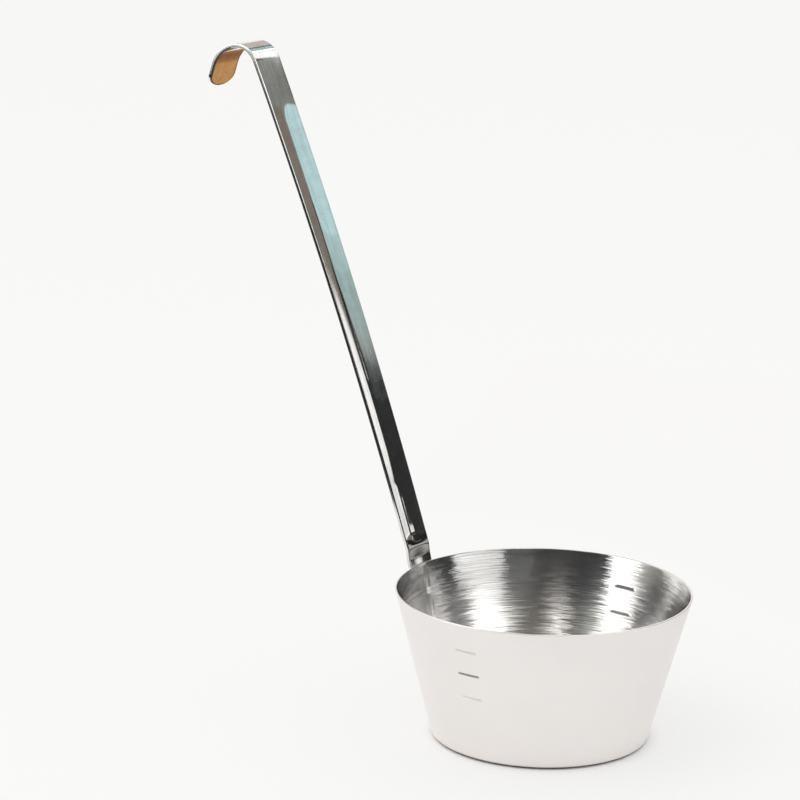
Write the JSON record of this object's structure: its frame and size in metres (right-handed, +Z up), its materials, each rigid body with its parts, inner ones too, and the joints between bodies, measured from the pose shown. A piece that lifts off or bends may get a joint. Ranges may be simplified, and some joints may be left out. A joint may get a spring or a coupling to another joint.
{
  "type": "water dipper",
  "caption": "Stainless steel water dipper: pressed conical bowl with graduation dashes and a long grooved strap handle, spot welded on and bent to a hook.",
  "frame": {"origin": "centre of the underside of the bowl's base, on the surface that the dipper stands on", "axes": "+Z up along the bowl's axis; the handle rises on the -X side, in the XZ plane"},
  "size_m": [0.2467, 0.13, 0.2909],
  "materials": {
    "bowl_steel": "satin outside, turned rings inside",
    "strap_steel": "bright rolled",
    "weld_steel": "satin"
  },
  "bodies": {
    "root": {"bowl": "bowl_steel", "handle_strap": "strap_steel", "spot_welds": "weld_steel"}
  },
  "joints": []
}
